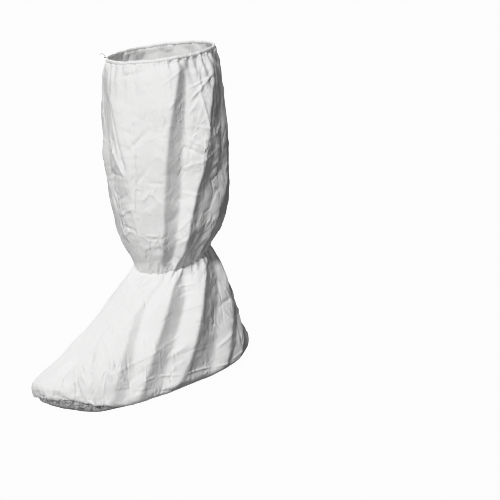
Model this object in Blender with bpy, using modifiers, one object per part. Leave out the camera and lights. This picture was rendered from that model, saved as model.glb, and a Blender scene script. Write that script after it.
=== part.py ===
"""Disposable boot cover, worn shape: a white cloth leg and foot over a grey sole.

Metres, +Z up, toe towards -Y. The origin lies on the sole's inner face, under the
middle of the ankle. Two cloth panels meet at a front and a back seam. They stand on
a shallow sole with a turned-up rim, end in a rolled elastic hem at the top, and are
gathered over an elastic band at the ankle.

Places on the cloth are given by an angle and a level. The angle is 0 at the toe, 90
at +X, 180 at the heel and 270 at -X. The level is 0 at the sole seam, 1 at the ankle
and 2 at the hem. Table columns of lengths are shares of the sizes named beside them.
"""
import bisect
import functools
import math
from collections import namedtuple

import bmesh
import bpy
from mathutils import Vector

# Heights above the sole's inner face
HEM_HEIGHT = 0.438
ANKLE_HEIGHT = 0.166
SEAM_HEIGHT = 0.021

# Widths run along X, depths and reaches along Y
HEM_WIDTH = 0.137
HEM_DEPTH = 0.137
ANKLE_WIDTH = 0.090
ANKLE_DEPTH = 0.103
LEG_SWELL = 0.012
LEG_LEAN = 0.0115
FOOT_WIDTH = 0.139
TOE_REACH = 0.197
HEEL_REACH = 0.113
SOLE_TUCK = 0.012

# Rise of the hem and ankle lines from heel to toe, per metre of depth
HEM_SLOPE = -0.15
ANKLE_SLOPE = -0.29

# The foot's plan: how much wider than its middle the toe is, and how square it is
TOE_SPREAD = 0.21
PLAN_POWER = 2.4

# Cloth and trim
CLOTH_WALL = 0.0012
SOLE_WALL = 0.0015
GAP = 0.0003
HEM_BAND = 0.0045
ELASTIC_HEIGHT = 0.006
ELASTIC_WALL = 0.0010
ELASTIC_EASE = 0.0008
GATHER_COUNT = 18
GATHER_DEPTH = 0.0020
GATHER_REACH = 0.013
PLEAT_DEPTH = 0.0011
PLEAT_REACH = 0.024
FOLD_WIDTH = 0.013
FOLD_DEPTH = 0.010

# Facets. Four columns to a gather put one on each crest and in each trough.
COLUMNS = 4 * GATHER_COUNT
SEAM_STRIP = 0.002
FOOT_BANDS = 13
LEG_BANDS = 15
RIM_BANDS = 3
RIM_LIP = 0.001
RIM_MARGIN = 0.07
ELASTIC_COLUMNS = 2 * GATHER_COUNT
END_CROWDING = 0.72

# Foot sections from the sole seam (rise 0) to the ankle (rise 1). front, side and back
# are shares of the way in from the foot's plan to the ankle ring, pinch narrows the toe.
FootRow = namedtuple("FootRow", "rise front side back pinch")
FOOT_ROWS = [
    (0.00, -0.05, 0.14, 0.04, 0.03),
    (0.05, -0.08, 0.05, -0.04, 0.07),
    (0.14, -0.11, 0.03, -0.13, 0.16),
    (0.34, 0.23, 0.04, 0.19, 0.22),
    (0.60, 0.58, 0.28, 0.47, 0.32),
    (0.80, 0.78, 0.58, 0.64, 0.26),
    (0.92, 0.90, 0.85, 0.86, 0.11),
    (1.00, 1.00, 1.00, 1.00, 0.00),
]

# Leg sections from the ankle (rise 0) to the hem (rise 1). grow is a share of the way
# from the ankle ring to the hem ring, swell of LEG_SWELL, lean of LEG_LEAN. twist turns
# the seams, in degrees.
LegRow = namedtuple("LegRow", "rise grow swell lean twist")
LEG_ROWS = [
    (0.00, 0.00, 0.00, 0.00, 0),
    (0.05, 0.33, 0.10, 0.02, 4),
    (0.12, 0.68, 0.45, 0.06, 13),
    (0.22, 0.87, 0.80, 0.15, 21),
    (0.38, 0.92, 1.10, 0.35, 26),
    (0.55, 1.02, 1.10, 0.55, 29),
    (0.75, 1.06, 0.80, 0.80, 27),
    (0.92, 0.96, 0.50, 0.95, 24),
    (1.00, 1.00, 0.00, 1.00, 22),
]

# The sole's rim. height is a share of SEAM_HEIGHT, and tuck of SOLE_TUCK: the rim turns
# up high and gently round the toe on the +X side, and stays low elsewhere.
RimRow = namedtuple("RimRow", "angle height tuck")
RIM_START = -60
RIM_ROWS = [
    (-60, 0.03, 1.10),
    (-35, 0.15, 1.90),
    (-15, 0.43, 2.50),
    (0, 0.69, 2.80),
    (13, 0.95, 2.80),
    (25, 1.00, 2.20),
    (34, 0.80, 1.20),
    (42, 0.45, 0.60),
    (50, 0.15, 0.90),
    (60, 0.06, 1.10),
    (100, 0.03, 1.00),
    (150, 0.03, 1.30),
    (180, 0.03, 1.60),
    (210, 0.03, 1.30),
    (260, 0.03, 1.00),
    (300, 0.03, 1.10),
]

# Folds of the cloth. Each runs from a low to a high level, along three angles in
# degrees. width is a share of FOLD_WIDTH, and depth of FOLD_DEPTH, out if positive.
FoldRow = namedtuple("FoldRow", "low high start middle end width depth")
FOLD_ROWS = [
    # Leg, the side towards +X
    (1.02, 2.00, 43, 54, 76, 0.75, 0.45),
    (1.02, 2.00, 59, 70, 84, 0.80, -0.95),
    (1.02, 1.98, 64, 88, 118, 0.90, 0.60),
    (1.02, 1.98, 84, 117, 134, 1.10, -0.80),
    (1.02, 1.98, 96, 133, 147, 0.90, 0.40),
    (1.15, 1.75, 0, 6, -4, 1.70, -0.35),
    (1.30, 1.95, 24, 19, 0, 0.80, 0.25),
    # Leg, the back and the side towards -X
    (1.02, 1.98, 108, 148, 162, 0.85, -0.50),
    (1.02, 1.98, 122, 162, 176, 0.90, 0.55),
    (1.02, 1.98, 140, 175, 192, 0.90, -0.70),
    (1.02, 1.98, 156, 188, 203, 0.80, 0.45),
    (1.02, 1.98, 174, 201, 217, 0.85, -0.50),
    (1.02, 1.98, 190, 215, 232, 0.90, 0.40),
    (1.02, 1.98, 208, 231, 246, 0.90, -0.70),
    (1.02, 1.98, 226, 247, 260, 0.85, 0.50),
    (1.02, 1.98, 243, 262, 275, 0.80, -0.35),
    (1.02, 1.98, 258, 278, 290, 0.90, 0.50),
    (1.02, 1.95, 275, 294, 306, 0.90, -0.65),
    (1.02, 1.95, 292, 310, 320, 0.90, 0.35),
    # Foot, the side towards +X
    (0.02, 0.98, 46, 46, 49, 0.80, 0.15),
    (0.02, 0.97, 52, 56, 54, 0.80, -0.30),
    (0.00, 0.98, 58, 67, 62, 0.90, 0.50),
    (0.02, 0.98, 68, 80, 77, 0.90, -0.75),
    (0.00, 0.98, 72, 85, 108, 0.90, 0.70),
    (0.02, 0.98, 97, 112, 136, 1.10, -0.85),
    (0.04, 0.97, 103, 129, 150, 0.90, 0.35),
    (0.04, 0.95, 112, 143, 165, 0.80, -0.30),
    (0.05, 0.95, 122, 156, 175, 0.90, 0.35),
    # Foot, the back and the side towards -X
    (0.04, 0.96, 138, 168, 187, 0.90, -0.45),
    (0.04, 0.96, 156, 181, 199, 0.85, 0.35),
    (0.04, 0.96, 178, 198, 213, 0.90, -0.50),
    (0.02, 0.96, 200, 213, 226, 0.95, 0.45),
    (0.02, 0.97, 222, 227, 239, 1.00, -0.70),
    (0.02, 0.97, 244, 243, 253, 1.00, 0.55),
    (0.02, 0.97, 264, 257, 268, 1.00, -0.65),
    (0.02, 0.97, 281, 271, 283, 0.90, 0.50),
    (0.02, 0.97, 294, 284, 297, 0.90, -0.50),
    (0.02, 0.96, 307, 298, 312, 0.90, 0.30),
    (0.04, 0.95, 322, 314, 327, 0.90, -0.20),
]

# Share of a fold's run over which it rises and dies away
FOLD_FADE = 0.16

# Material of each node: colour, roughness
CLOTH_FINISH = ((0.86, 0.86, 0.85), 0.55)
SOLE_FINISH = ((0.16, 0.16, 0.165), 0.70)
ELASTIC_FINISH = ((0.78, 0.78, 0.76), 0.80)


def slopes(places, values):
    """Slopes for a smooth curve through a column that never overshoots its rows."""
    steps = [
        (values[i + 1] - values[i]) / (places[i + 1] - places[i])
        for i in range(len(places) - 1)
    ]
    inner = [
        2 * a * b / (a + b) if a * b > 0 else 0.0
        for a, b in zip(steps, steps[1:])
    ]
    return [steps[0]] + inner + [steps[-1]]


def smooth_table(kind, rows):
    """Prepare a table: its kind of row, its places, and each column with its slopes."""
    places = [row[0] for row in rows]
    columns = [[row[i] for row in rows] for i in range(1, len(rows[0]))]
    return kind, places, [(values, slopes(places, values)) for values in columns]


def look_up(table, place):
    """Row of a smooth table at a place between its rows."""
    kind, places, columns = table
    place = min(max(place, places[0]), places[-1])
    i = min(max(bisect.bisect_right(places, place) - 1, 0), len(places) - 2)
    step = places[i + 1] - places[i]
    u = (place - places[i]) / step
    start = 2 * u**3 - 3 * u**2 + 1
    start_slope = (u**3 - 2 * u**2 + u) * step
    end_slope = (u**3 - u**2) * step
    between = [
        values[i] * start
        + slope[i] * start_slope
        + values[i + 1] * (1 - start)
        + slope[i + 1] * end_slope
        for values, slope in columns
    ]
    return kind(place, *between)


FOOT_TABLE = smooth_table(FootRow, FOOT_ROWS)
LEG_TABLE = smooth_table(LegRow, LEG_ROWS)
RIM_TABLE = smooth_table(RimRow, RIM_ROWS)


def plan_point(angle):
    """Point of the foot's widest outline, seen from above: a squared-off ellipse."""
    c = math.cos(angle)
    s = math.sin(angle)
    reach = TOE_REACH if c > 0 else HEEL_REACH
    square = (abs(c) ** PLAN_POWER + abs(s) ** PLAN_POWER) ** (-1 / PLAN_POWER)
    return FOOT_WIDTH / 2 * s * square * (1 + TOE_SPREAD * c), -reach * c * square


def ankle_point(angle):
    """Point of the ankle ring, on the gather line."""
    y = -ANKLE_DEPTH / 2 * math.cos(angle)
    return ANKLE_WIDTH / 2 * math.sin(angle), y, ANKLE_HEIGHT + ANKLE_SLOPE * -y


def rim_row(angle):
    """Height of the sole seam and tuck of the rim at an angle, as shares."""
    degrees = math.degrees(angle)
    return look_up(RIM_TABLE, (degrees - RIM_START) % 360 + RIM_START)


def foot_point(angle, rise):
    """Point of the foot's smooth skin."""
    row = look_up(FOOT_TABLE, rise)
    c = math.cos(angle)
    s = math.sin(angle)
    share = (row.front if c > 0 else row.back) * c * c + row.side * s * s
    plan_x, plan_y = plan_point(angle)
    ankle_x, ankle_y, ankle_z = ankle_point(angle)
    x = (plan_x + (ankle_x - plan_x) * share) * (1 - row.pinch * max(c, 0))
    y = plan_y + (ankle_y - plan_y) * share
    low = SEAM_HEIGHT * rim_row(angle).height
    return Vector((x, y, low + (ankle_z - low) * rise))


def leg_point(angle, rise):
    """Point of the leg's smooth skin."""
    row = look_up(LEG_TABLE, rise)
    swell = LEG_SWELL * row.swell
    half_width = (ANKLE_WIDTH + (HEM_WIDTH - ANKLE_WIDTH) * row.grow) / 2 + swell
    half_depth = (ANKLE_DEPTH + (HEM_DEPTH - ANKLE_DEPTH) * row.grow) / 2 + swell
    c = math.cos(angle)
    low = ankle_point(angle)[2]
    high = HEM_HEIGHT - HEM_BAND - GAP + HEM_SLOPE * HEM_DEPTH / 2 * c
    return Vector((
        half_width * math.sin(angle),
        -half_depth * c - LEG_LEAN * row.lean,
        low + (high - low) * rise,
    ))


def skin_point(angle, level):
    """Point of the whole smooth skin, without folds and gathers."""
    if level <= 1:
        return foot_point(angle, level)
    return leg_point(angle, level - 1)


def frame_at(angle, level):
    """Point of the skin, its outward normal and the direction along the angle."""
    turn = 0.01
    lift = 0.01
    point = skin_point(angle, level)
    across = skin_point(angle + turn, level) - skin_point(angle - turn, level)
    low = max(level - lift, 0)
    high = min(level + lift, 2)
    along = skin_point(angle, high) - skin_point(angle, low)
    return point, across.cross(along).normalized(), across.normalized()


def fade(share):
    """Rise from 0 to 1 over the first stretch of a fold, and back over the last."""
    end = min(share, 1 - share) / FOLD_FADE
    end = min(max(end, 0.0), 1.0)
    return end * end * (3 - 2 * end)


@functools.lru_cache(maxsize=None)
def folds_at(level):
    """Folds that cross a level: where each one's line is, its width and its depth."""
    found = []
    for row in FOLD_ROWS:
        fold = FoldRow(*row)
        share = (level - fold.low) / (fold.high - fold.low)
        if 0 < share < 1:
            straight = fold.start + (fold.end - fold.start) * share
            bend = 4 * share * (1 - share) * (fold.middle - (fold.start + fold.end) / 2)
            line = math.radians(straight + bend)
            size = fold.depth * FOLD_DEPTH * fade(share)
            found.append((skin_point(line, level), fold.width * FOLD_WIDTH, size))
    return found


def fold_offset(point, level):
    """How far the folds push the skin out at a point."""
    total = 0.0
    for line_point, width, size in folds_at(level):
        reach = (point - line_point).length / width
        total += size * math.exp(-reach * reach)
    return total


def gather_offset(column_angle, level):
    """How far the gathers at the ankle and the pleats under the hem push the skin out."""
    part_height = ANKLE_HEIGHT if level <= 1 else HEM_HEIGHT - ANKLE_HEIGHT
    from_ankle = (level - 1) * part_height / GATHER_REACH
    from_hem = (2 - level) * part_height / PLEAT_REACH
    size = GATHER_DEPTH * math.exp(-from_ankle * from_ankle)
    if level > 1:
        size += PLEAT_DEPTH * math.exp(-from_hem * from_hem)
    return size * math.cos(GATHER_COUNT * column_angle)


def twist_at(level):
    """Turn of the seams about the leg at a level."""
    if level <= 1:
        return 0.0
    return math.radians(look_up(LEG_TABLE, level - 1).twist)


def cloth_point(column_angle, level, shift=0.0):
    """Point of the outer cloth face, moved sideways along the cloth by shift."""
    point, normal, across = frame_at(column_angle + twist_at(level), level)
    out = fold_offset(point, level) + gather_offset(column_angle, level)
    return point + normal * out + across * shift


def levels():
    """Levels of the cloth's rows, closer together at the sole, ankle and hem."""
    rows = [0.0]
    for base, bands in ((0, FOOT_BANDS), (1, LEG_BANDS)):
        for i in range(1, bands + 1):
            share = i / bands
            crowd = END_CROWDING * math.sin(2 * math.pi * share) / (2 * math.pi)
            rows.append(base + share - crowd)
    return rows


def panel_places():
    """Column angles and sideways shifts across one panel, from seam to seam."""
    step = 2 * math.pi / COLUMNS
    places = [(0.0, GAP / 2), (0.0, GAP / 2 + SEAM_STRIP)]
    places += [(i * step, 0.0) for i in range(1, COLUMNS // 2)]
    places += [(math.pi, -GAP / 2 - SEAM_STRIP), (math.pi, -GAP / 2)]
    return places


def material(name, finish):
    """Principled material of one plain colour."""
    colour, roughness = finish
    result = bpy.data.materials.new(name)
    result.use_nodes = True
    shader = result.node_tree.nodes["Principled BSDF"]
    shader.inputs["Base Color"].default_value = (*colour, 1.0)
    shader.inputs["Roughness"].default_value = roughness
    shader.inputs["Metallic"].default_value = 0.0
    return result


def add_object(name, data, finish, collection):
    """Object of the given mesh or curve with its own material."""
    data.materials.append(material(name, finish))
    result = bpy.data.objects.new(name, data)
    collection.objects.link(result)
    return result


def mesh_from(name, bm):
    """Mesh with smooth faces and sharp rims from a bmesh."""
    bmesh.ops.recalc_face_normals(bm, faces=bm.faces)
    mesh = bpy.data.meshes.new(name)
    bm.to_mesh(mesh)
    bm.free()
    mesh.shade_smooth()
    return mesh


def thicken(target, wall):
    """Give an open surface its wall, on the inner side."""
    solidify = target.modifiers.new("wall", "SOLIDIFY")
    solidify.thickness = wall
    solidify.offset = -1
    solidify.use_even_offset = True
    solidify.use_quality_normals = True


def make_panel(name, half, collection):
    """Boot-shaped cloth panel of one half, from the front seam to the back seam."""
    rows = levels()
    places = panel_places()
    bm = bmesh.new()
    bmesh.ops.create_grid(
        bm, x_segments=len(places) - 1, y_segments=len(rows) - 1, size=1
    )
    for vert in bm.verts:
        column = round((vert.co.x + 1) / 2 * (len(places) - 1))
        row = round((vert.co.y + 1) / 2 * (len(rows) - 1))
        column_angle, shift = places[column]
        vert.co = cloth_point(column_angle + half, rows[row], shift)
    panel = add_object(name, mesh_from(name, bm), CLOTH_FINISH, collection)
    thicken(panel, CLOTH_WALL)
    return panel


def sole_ring(angle, share, lift=0.0):
    """Point of the sole's rim, from its flat bottom (share 0) to its lip (share 1)."""
    seam, normal, _ = frame_at(angle, 0)
    inward = -Vector((normal.x, normal.y, 0)).normalized()
    turn = share * math.pi / 2
    tuck = SOLE_TUCK * rim_row(angle).tuck * (1 - math.sin(turn))
    rise = seam.z - GAP - RIM_LIP + SOLE_WALL
    height = -SOLE_WALL + rise * (1 - math.cos(turn)) + lift
    return Vector((seam.x, seam.y, height)) + inward * tuck


def make_sole(collection):
    """Shallow sole: a flat bottom whose rim turns up to the seam."""
    bm = bmesh.new()
    bmesh.ops.create_circle(bm, cap_ends=True, segments=COLUMNS, radius=1)
    ring = sorted(bm.verts, key=lambda v: math.atan2(v.co.x, -v.co.y) % (2 * math.pi))
    angles = [i * 2 * math.pi / COLUMNS for i in range(COLUMNS)]
    for vert, angle in zip(ring, angles):
        edge = sole_ring(angle, 0)
        vert.co = (edge.x * (1 - RIM_MARGIN), edge.y * (1 - RIM_MARGIN), edge.z)
    bands = [(band / RIM_BANDS, 0.0) for band in range(RIM_BANDS + 1)]
    for share, lift in bands + [(1.0, RIM_LIP)]:
        upper = [bm.verts.new(sole_ring(angle, share, lift)) for angle in angles]
        for i in range(COLUMNS):
            j = (i + 1) % COLUMNS
            bm.faces.new((ring[i], ring[j], upper[j], upper[i]))
        ring = upper
    sole = add_object("sole", mesh_from("sole", bm), SOLE_FINISH, collection)
    thicken(sole, SOLE_WALL)
    return sole


def make_hem(collection):
    """Rolled elastic hem: a tube that sits on the top edge of both panels."""
    curve = bpy.data.curves.new("top_hem", "CURVE")
    curve.dimensions = "3D"
    curve.bevel_depth = HEM_BAND / 2
    curve.bevel_resolution = 2
    spline = curve.splines.new("POLY")
    spline.points.add(COLUMNS - 1)
    spline.use_cyclic_u = True
    for i, point in enumerate(spline.points):
        edge = skin_point(i * 2 * math.pi / COLUMNS, 2)
        point.co = (edge.x, edge.y, edge.z + GAP + HEM_BAND / 2, 1)
    return add_object("top_hem", curve, CLOTH_FINISH, collection)


def make_elastic(collection):
    """Elastic band inside the ankle, against the inner folds of the gathers."""
    inset = GATHER_DEPTH + CLOTH_WALL + ELASTIC_EASE
    bm = bmesh.new()
    bmesh.ops.create_circle(bm, segments=ELASTIC_COLUMNS, radius=1)
    for vert in bm.verts:
        angle = math.atan2(vert.co.x, -vert.co.y)
        x, y, z = ankle_point(angle)
        outward = Vector((x / ANKLE_WIDTH**2, y / ANKLE_DEPTH**2, 0)).normalized()
        vert.co = Vector((x, y, z - ELASTIC_HEIGHT / 2)) - outward * inset
    lifted = bmesh.ops.extrude_edge_only(bm, edges=bm.edges[:])["geom"]
    top = [item for item in lifted if isinstance(item, bmesh.types.BMVert)]
    bmesh.ops.translate(bm, verts=top, vec=(0, 0, ELASTIC_HEIGHT))
    elastic = add_object(
        "ankle_elastic", mesh_from("ankle_elastic", bm), ELASTIC_FINISH, collection
    )
    thicken(elastic, ELASTIC_WALL)
    return elastic


def main():
    for item in list(bpy.data.objects):
        bpy.data.objects.remove(item)
    collection = bpy.data.collections.new("boot_cover")
    bpy.context.scene.collection.children.link(collection)
    make_panel("left_panel", 0.0, collection)
    make_panel("right_panel", math.pi, collection)
    make_sole(collection)
    make_hem(collection)
    make_elastic(collection)


main()
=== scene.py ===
"""Scene for a tall disposable boot cover: crumpled white cloth over a grey sole.

The cloth is the part's own smooth skin with the folds of the photograph, gathers,
creases and crumples laid over it. Places on it are an angle (0 at the toe, 90 at +X,
180 at the heel) and a level (0 at the sole seam, 1 at the ankle, 2 at the hem).
"""
from math import cos, degrees, pi, radians, sin

import bmesh
import bpy
import numpy as np
from mathutils import Matrix, Vector, noise
from mathutils.geometry import delaunay_2d_cdt


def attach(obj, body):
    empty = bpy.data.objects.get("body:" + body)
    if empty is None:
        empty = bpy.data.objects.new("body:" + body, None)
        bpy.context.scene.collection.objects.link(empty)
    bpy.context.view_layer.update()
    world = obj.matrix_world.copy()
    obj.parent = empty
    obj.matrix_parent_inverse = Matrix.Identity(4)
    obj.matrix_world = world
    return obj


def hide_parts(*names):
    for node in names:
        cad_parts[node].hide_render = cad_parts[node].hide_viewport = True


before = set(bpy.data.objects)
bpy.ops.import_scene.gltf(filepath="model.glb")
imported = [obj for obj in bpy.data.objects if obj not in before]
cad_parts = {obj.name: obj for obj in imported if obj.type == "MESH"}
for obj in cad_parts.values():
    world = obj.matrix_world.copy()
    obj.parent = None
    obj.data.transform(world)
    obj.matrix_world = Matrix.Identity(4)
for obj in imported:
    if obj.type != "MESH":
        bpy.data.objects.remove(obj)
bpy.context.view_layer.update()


def text_table(text):
    """Array of the rows of a text table, where a row that starts with # is a comment."""
    rows = [row.replace("|", " ").split() for row in text.split("\n")]
    return np.array([row for row in rows if row and row[0] != "#"], float)


# The part's sizes, in metres
HEM_HEIGHT = 0.438
ANKLE_HEIGHT = 0.166
SEAM_HEIGHT = 0.021
HEM_WIDTH = 0.137
HEM_DEPTH = 0.137
ANKLE_WIDTH = 0.090
ANKLE_DEPTH = 0.103
LEG_SWELL = 0.012
LEG_LEAN = 0.0115
FOOT_WIDTH = 0.139
TOE_REACH = 0.197
HEEL_REACH = 0.113
SOLE_TUCK = 0.012
HEM_SLOPE = -0.15
ANKLE_SLOPE = -0.29
TOE_SPREAD = 0.21
PLAN_POWER = 2.4
SOLE_WALL = 0.0015
GAP = 0.0003
HEM_BAND = 0.0045
FLOOR = -SOLE_WALL

# rise, then front, side, back and pinch, as in the part
FOOT_ROWS = text_table("""
0 -.05 .14 .04 .03
.05 -.08 .05 -.04 .07
.14 -.11 .03 -.13 .16
.34 .23 .04 .19 .22
.6 .58 .28 .47 .32
.8 .78 .58 .64 .26
.92 .9 .85 .86 .11
1 1 1 1 0
""")
# rise, then grow, swell, lean and twist
LEG_ROWS = text_table("""
0 0 0 0 0
.05 .33 .1 .02 4
.12 .68 .45 .06 13
.22 .87 .8 .15 21
.38 .92 1.1 .35 26
.55 1.02 1.1 .55 29
.75 1.06 .8 .8 27
.92 .96 .5 .95 24
1 1 0 1 22
""")
# angle, then height and tuck of the sole's rim
RIM_START = -60
RIM_ROWS = text_table("""
-60 .03 1.1
-35 .15 1.9
-15 .43 2.5
0 .69 2.8
13 .95 2.8
25 1 2.2
34 .8 1.2
42 .45 .6
50 .15 .9
60 .06 1.1
100 .03 1
150 .03 1.3
180 .03 1.6
210 .03 1.3
260 .03 1
300 .03 1.1
""")

# Main folds: crest and valley lines that run the whole height of the leg or foot. Each
# row is a bow, the angles at the stops, and the offsets there in millimetres. A bow of
# 1 makes the face after the line steepest beside it, 0 makes it flat.
LEG_STOPS = (1.0, 1.1, 1.25, 1.4, 1.55, 1.7, 1.85, 2.0)
LEG_LINES = text_table("""
0 | 20 21 24 22.5 19.5 11.5 2 -4 | .3 1.6 4.6 5.2 4.8 3.4 1.2 0
0 | 32 33 35 36 36 35 33 32 | -.2 .6 1.4 1.4 1.2 .9 .6 .2
.6 | 42 45 49 52 55 59.5 67 75 | 1.5 3.6 4.4 4.6 4.6 4.6 4.4 2.8
0 | 57 60 64.5 68 69.5 74 79 83 | -3 -6.8 -8.2 -8.6 -8.6 -8.4 -7.4 -5
.6 | 63 67.5 73.5 81 90.5 96.5 107 118 | 1 2.5 3.5 3.8 4 3.6 3.4 2.4
0 | 74 80 83 90 99 106 117 126 | -2.5 -3.5 -3.2 -1.5 -.5 -.5 0 0
0 | 78 84 87 95 104 111 121 129 | -1.8 -3.8 -3.6 -4 -3.2 -2.6 -1.8 -1.4
0 | 82 89 98 112 119 125 130 134 | -3 -6.2 -6.6 -6.2 -5.6 -5 -3.8 -3
1 | 97 103 114 129 136 140 144 148 | -1 -2.2 -1.8 -.8 -1 -.8 .2 .8
0 | 108 114 127 143 150 154 158 162 | -3 -4 -3.5 -3 -3.5 -4 -3.5 -2.5
1 | 122 128 142 157 164 168 172 176 | 0 -.5 .5 3 3.5 3 2.5 2
0 | 140 145 157 170 177 182 187 192 | -3 -6 -6 -5.5 -5.5 -5 -4.5 -3
1 | 156 161 172 184 190 195 199 203 | 1.5 3.5 4 3.5 3 3 3 2
0 | 174 178 187 197 203 208 213 217 | -2.5 -4 -4 -3.5 -3.5 -4 -4 -3
1 | 190 194 202 211 217 222 227 232 | 1.5 3 3.5 3 2.5 2.5 3 2
0 | 208 212 219 227 233 237 241 246 | -2.5 -5 -5.5 -5.5 -5 -5.5 -5 -3
1 | 226 230 236 243 249 252 256 260 | 1.5 3.5 3.5 3.5 3.5 3 2.5 2
0 | 243 247 253 260 264 268 271 275 | -2 -3 -3 -2.5 -3 -3.5 -3 -2.5
1 | 258 262 268 275 280 283 286 290 | 1.5 3.5 4 4 3.5 3.5 3 2
0 | 275 279 285 291 296 299 302 306 | -2 -4 -4.5 -5 -5 -4.5 -4 -2.5
0 | 292 296 301 307 311 314 317 320 | 1 2.5 2.5 2.5 2.5 2 2 1.5
0 | 309 312 316 321 325 328 331 334 | -2 -3.5 -3 -1.5 -1.5 -3 -3.6 -2.4
0 | 326 328 332 336 339 342 345 346 | -1 -2.5 -1.5 .5 .6 -1.6 -2.4 -1.6
0 | 350 352 354 355 353 351 350 351 | -.5 -2.2 -4 -4.6 -4.4 -3.6 -2.4 -1.2
""")
FOOT_STOPS = (0.0, 0.15, 0.3, 0.45, 0.6, 0.75, 0.9, 1.0)
FOOT_LINES = text_table("""
0 | 8 8 8 9 10 11 12 12 | 0 -.3 -.5 -.5 -.4 -.3 0 0
0 | 22 23 23 23 23 23 24 25 | 0 .4 .6 .6 .6 .5 .3 0
0 | 34 36 36 35 34 34 36 38 | 0 -.5 -.6 -.6 -.5 -.5 -.5 -.5
.5 | 46 51 51 50.5 48.5 47 48 49 | .8 1.6 2 2 1.8 1.2 .8 .5
0 | 51 56.5 57 56.5 55 53 53.5 54 | -1 -2.2 -2.6 -2.6 -2.4 -1.6 -1 -1
.6 | 58.5 62 64.5 66.5 68.5 69 68 62 | 2.2 3.4 3.8 4 4.2 4.2 3.6 1.2
0 | 67 71.5 74 77 79.5 82 81 77 | -2 -4 -4.8 -5.2 -5.6 -6 -4.8 -2.2
1 | 72 79 83 86 89 93 103 108 | 2.5 4.2 5.2 5.4 5.6 5.4 4.6 1.8
0 | 95 101 105.5 110 116 126 132 136 | -3 -6 -7.4 -8 -8 -7.4 -5.6 -2.4
0 | 103 112 118.5 126 133 140 147 150 | .5 1.5 1.5 1.5 1.5 1.5 1.5 1
0 | 112 120 130 140 149 156 162 165 | -1 -2 -2 -2 -2 -2 -2 -1
1 | 122 131 143 153 161 167 172 175 | 1 1.8 2 2 2 2 2 1
0 | 138 146 157 166 173 179 184 187 | -1.5 -3 -3.5 -3.5 -3 -3 -3 -1.5
1 | 156 162 171 179 186 191 196 199 | 1.5 2 2.5 2.5 2.5 2.5 2.5 1
0 | 178 182 189 195 201 206 210 213 | -1.5 -3 -3.5 -3.5 -3.5 -3.5 -3 -1.5
1 | 200 203 207 211 215 219 223 226 | 1.5 2.5 3 3 3 3 2.5 1
0 | 222 222 223 226 229 232 236 239 | -2 -4 -5 -5 -5 -4.5 -3.5 -1.5
1 | 244 242 241 242 244 247 250 253 | 2 3 4 4 4 3.5 3 1
0 | 264 260 258 257 258 260 264 268 | -2 -4 -5 -5 -5 -4.5 -3.5 -1.5
1 | 281 275 272 271 271 273 278 283 | 1.5 2.5 3.5 3.5 3.5 3 2.5 1
0 | 294 289 285 284 284 286 291 297 | -1.5 -2.5 -3.5 -3.5 -3.5 -3 -2.5 -1.5
0 | 307 302 299 298 298 300 306 312 | 1 1.5 2 2 2 2 1.5 1
0 | 322 318 315 314 314 316 321 327 | -.5 -1 -1.5 -1.5 -1.5 -1.2 -1 -.5
0 | 340 338 336 335 335 337 341 344 | 0 .5 .6 .6 .6 .5 .5 0
""")
FOLD_ROUND = 0.0016

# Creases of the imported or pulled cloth: angle and level of both ends, half width and
# height in millimetres. The height is out if positive.
CREASES = text_table("""
# Leg: folded edges of the packing, level and upright
79 1.86 112 1.9 3 .45
60 1.5 116 1.56 3 .4
-14 1.5 22 1.5 3 -.5
96 1.98 92 1.8 4 .55
92 1.86 97 1.6 4 .6
79 1.8 112 1.92 5 .6
# Leg: pulls round the shaded three-cornered face at the front
-8 1.72 22 1.46 9 1
0 1.84 24 1.44 5 -.7
-10 1.62 12 1.6 4 .5
-4 1.36 20 1.42 5 -.7
2 1.3 24 1.36 5 .8
6 1.26 24 1.24 6 -.8
4 1.2 20 1.26 4 .7
# Leg: arcs and short pulls in the middle
31 1.38 40 1.43 4 .6
40 1.43 49 1.36 4 .55
49 1.36 51 1.22 4 .35
30 1.22 44 1.21 3.5 .6
73 1.66 95 1.56 4 .6
70 1.62 94 1.53 5 -.6
78 1.7 100 1.66 4 .4
66 1.4 88 1.36 5 .4
70 1.34 78 1.2 4 -.4
62 1.2 74 1.28 4 .6
60 1.14 72 1.2 4 -.5
52 1.72 60 1.62 4 .5
100 1.5 122 1.46 5 .5
98 1.4 118 1.44 4 -.5
104 1.62 124 1.66 5 .5
# Foot
14 .72 22 .3 4 .5
20 .6 40 .2 5 .5
6 .5 16 .2 4 -.4
30 .86 46 .66 4 .5
38 .34 54 .22 4 -.4
24 .2 30 .06 4 .5
98 .62 112 .36 4 .6
112 .66 104 .4 4 -.6
104 .24 122 .34 5 .6
116 .56 128 .36 4 .6
72 .86 90 .84 4 .6
74 .78 88 .8 4 -.5
# Foot: the edge of the turned-in seam along the side
62 .2 68 .19 3 .6
68 .19 79 .155 3 .7
79 .155 100 .11 3 .7
100 .11 116 .1 3 .7
116 .1 134 .14 3 .6
""")

CREASE_WIDTH = 0.80
CREASE_HEIGHT = 3.0
RANDOM_HEIGHT = 0.65

# Where the cloth is more crumpled: angle and level of the middle, reach of each, extra
CRUMPLED = text_table("""
2 1.28 18 .16 .45
98 1.5 26 .3 .25
84 1.86 22 .12 .2
80 1.15 30 .12 .25
118 .45 24 .3 .45
8 1.45 16 .3 .22
35 1.65 20 .25 -.25
10 .45 34 .28 -.2
60 .6 16 .25 -.15
""")

# Facets of the crumpled cloth, in metres: width, height up the cloth, and relief
FACETS = [(0.034, 0.040, 0.0018), (0.017, 0.015, 0.00115), (0.0095, 0.0075, 0.00055)]
CRUMPLED_BASE = 0.80

# The lower edge is turned under beside the arch and heel
UNDER_DEPTH = 0.0080
UNDER_REACH = 0.016

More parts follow.
